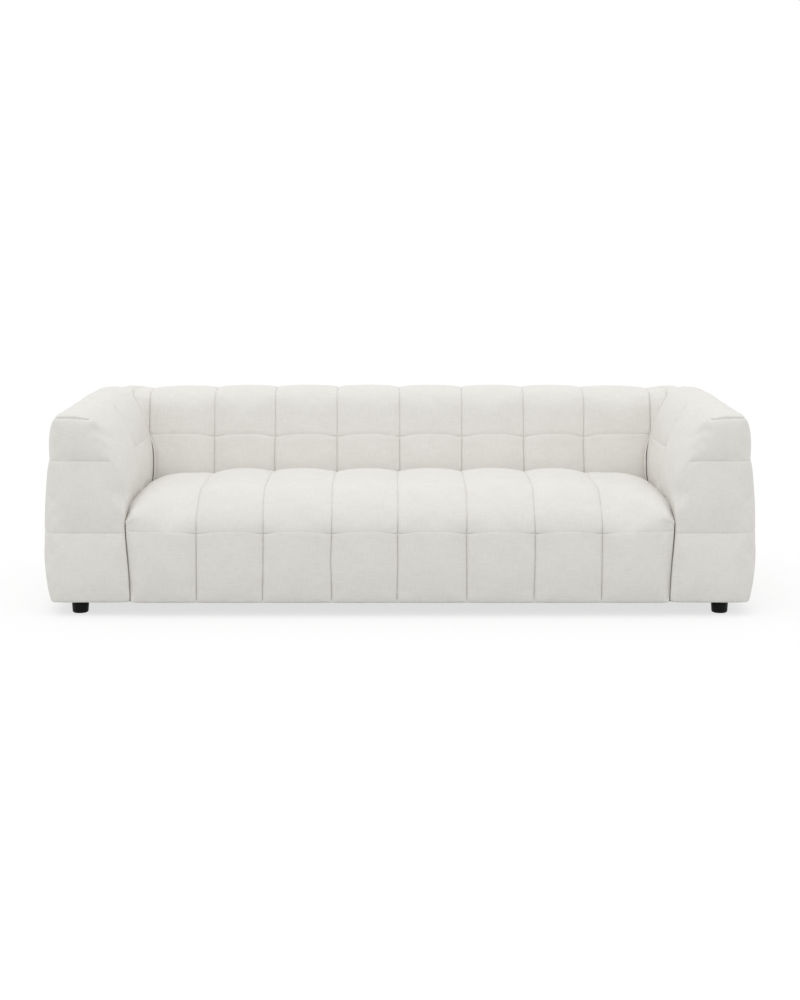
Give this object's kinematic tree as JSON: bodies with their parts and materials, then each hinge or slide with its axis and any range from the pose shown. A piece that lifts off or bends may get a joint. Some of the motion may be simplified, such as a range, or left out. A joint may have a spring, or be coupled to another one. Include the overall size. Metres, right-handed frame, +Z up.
{
  "type": "tuxedo sofa",
  "caption": "Low upholstered tuxedo sofa with arms as tall as its back, grid-quilted fabric all over, and short round dark feet.",
  "frame": {"origin": "on the floor, below the middle of the whole sofa's bounding box", "axes": "+X to the right of someone facing the sofa, the sofa faces -Y, +Z up"},
  "size_m": [2.464, 1.029, 0.699],
  "materials": {
    "cover_fabric": "matte",
    "foam": "matte",
    "felt": "matte",
    "hessian": "matte",
    "dust_cloth": "matte",
    "timber": "satin",
    "dark_foot": "satin",
    "steel": "satin"
  },
  "bodies": {
    "root": {"back_bottom_rail": "timber", "back_cover": "cover_fabric", "back_foam": "foam", "back_top_rail": "timber", "back_webbing": "hessian", "centre_foot": "dark_foot", "centre_foot_stud": "steel", "dust_cover": "dust_cloth", "front_spring_clip_strip": "steel", "left_arm_cover": "cover_fabric", "left_arm_foam": "foam", "left_arm_front_post": "timber", "left_arm_inner_panel": "timber", "left_arm_joining_batten": "timber", "left_arm_outer_panel": "timber", "left_arm_rear_post": "timber", "left_back_bolt": "steel", "left_back_upright": "timber", "left_front_arm_bolt": "steel", "left_front_foot": "dark_foot", "left_front_foot_block": "timber", "left_front_foot_stud": "steel", "left_rear_arm_bolt": "steel", "left_rear_foot": "dark_foot", "left_rear_foot_block": "timber", "left_rear_foot_stud": "steel", "left_seat_side_rail": "timber", "middle_back_upright": "timber", "rear_spring_clip_strip": "steel", "right_arm_cover": "cover_fabric", "right_arm_foam": "foam", "right_arm_front_post": "timber", "right_arm_inner_panel": "timber", "right_arm_joining_batten": "timber", "right_arm_outer_panel": "timber", "right_arm_rear_post": "timber", "right_back_bolt": "steel", "right_back_upright": "timber", "right_front_arm_bolt": "steel", "right_front_foot": "dark_foot", "right_front_foot_block": "timber", "right_front_foot_stud": "steel", "right_rear_arm_bolt": "steel", "right_rear_foot": "dark_foot", "right_rear_foot_block": "timber", "right_rear_foot_stud": "steel", "right_seat_side_rail": "timber", "seat_cover": "cover_fabric", "seat_cross_rail": "timber", "seat_foam": "foam", "seat_front_rail": "timber", "seat_rear_rail": "timber", "seat_spring_1": "steel", "seat_spring_2": "steel", "seat_spring_3": "steel", "seat_spring_4": "steel", "seat_spring_5": "steel", "seat_spring_6": "steel", "seat_spring_7": "steel", "spring_felt": "felt"}
  },
  "joints": []
}
